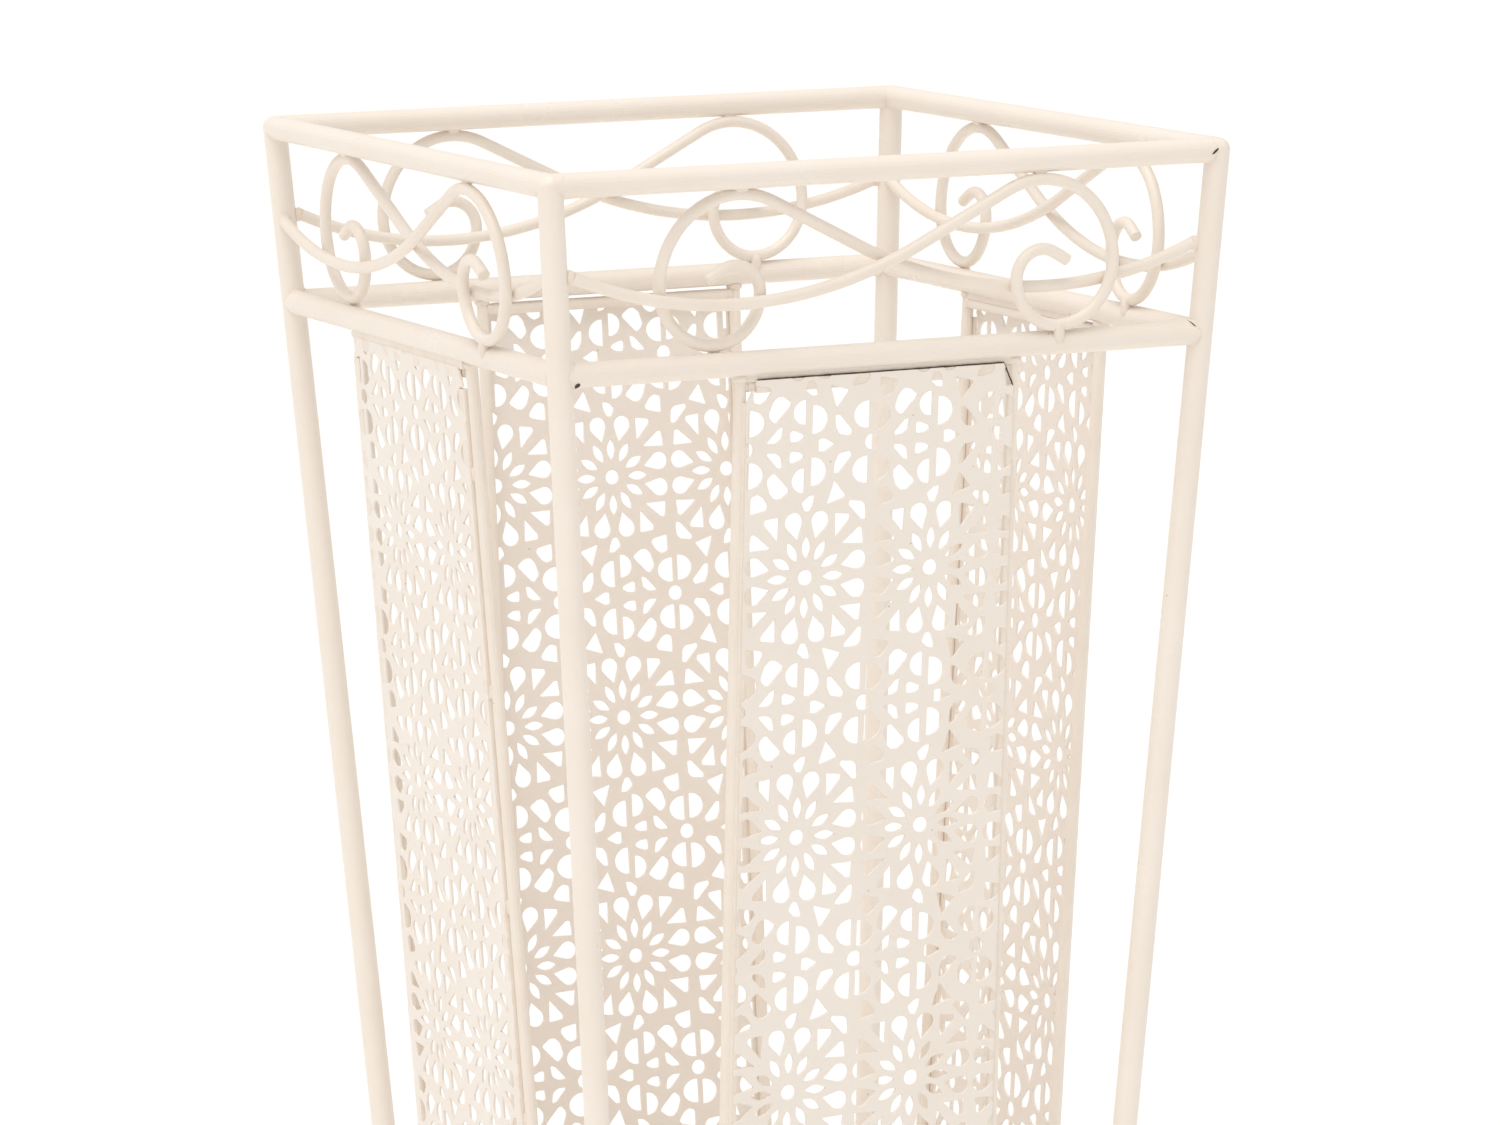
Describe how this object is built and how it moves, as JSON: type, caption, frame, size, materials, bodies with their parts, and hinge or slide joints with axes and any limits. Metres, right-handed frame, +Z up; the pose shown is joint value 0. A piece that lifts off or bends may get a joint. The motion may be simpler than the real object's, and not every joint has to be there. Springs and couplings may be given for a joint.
{
  "type": "umbrella stand",
  "caption": "Square tapered umbrella stand of welded round bar, with wire scrolls under the rim, perforated sheet panels on each side and a lift-out drip tray.",
  "frame": {"origin": "on the floor, in the middle of the four feet", "axes": "+Z up, the front faces -Y and its right side +X"},
  "size_m": [0.2404, 0.2404, 0.54],
  "materials": {
    "bar_paint": "cream powder coat, semi-gloss",
    "wire_paint": "cream powder coat, semi-gloss",
    "sheet_paint": "cream powder coat, satin",
    "tray_paint": "cream powder coat, satin",
    "foot_plastic": "moulded, matte"
  },
  "bodies": {
    "stand": {"leg_front_left": "bar_paint", "leg_front_right": "bar_paint", "leg_back_right": "bar_paint", "leg_back_left": "bar_paint", "top_bar_front": "bar_paint", "top_bar_right": "bar_paint", "top_bar_back": "bar_paint", "top_bar_left": "bar_paint", "second_bar_front": "bar_paint", "second_bar_right": "bar_paint", "second_bar_back": "bar_paint", "second_bar_left": "bar_paint", "base_bar_front": "bar_paint", "base_bar_right": "bar_paint", "base_bar_back": "bar_paint", "base_bar_left": "bar_paint", "scroll_outer_front": "wire_paint", "scroll_inner_front": "wire_paint", "scroll_outer_right": "wire_paint", "scroll_inner_right": "wire_paint", "scroll_outer_back": "wire_paint", "scroll_inner_back": "wire_paint", "scroll_outer_left": "wire_paint", "scroll_inner_left": "wire_paint", "panel_rod_left_front": "wire_paint", "panel_rod_right_front": "wire_paint", "panel_rod_top_front": "wire_paint", "panel_rod_bottom_front": "wire_paint", "panel_rod_left_right": "wire_paint", "panel_rod_right_right": "wire_paint", "panel_rod_top_right": "wire_paint", "panel_rod_bottom_right": "wire_paint", "panel_rod_left_back": "wire_paint", "panel_rod_right_back": "wire_paint", "panel_rod_top_back": "wire_paint", "panel_rod_bottom_back": "wire_paint", "panel_rod_left_left": "wire_paint", "panel_rod_right_left": "wire_paint", "panel_rod_top_left": "wire_paint", "panel_rod_bottom_left": "wire_paint", "panel_sheet_front": "sheet_paint", "panel_sheet_right": "sheet_paint", "panel_sheet_back": "sheet_paint", "panel_sheet_left": "sheet_paint", "tray_support_left": "wire_paint", "tray_support_right": "wire_paint", "foot_cap_front_left": "foot_plastic", "foot_cap_front_right": "foot_plastic", "foot_cap_back_right": "foot_plastic", "foot_cap_back_left": "foot_plastic"},
    "tray": {"drip_tray": "tray_paint"}
  },
  "joints": [
    {"name": "tray_lift", "type": "slide", "parent": "stand", "child": "tray", "axis": [0, 0, 1], "range_m": [0, 0.55]}
  ]
}
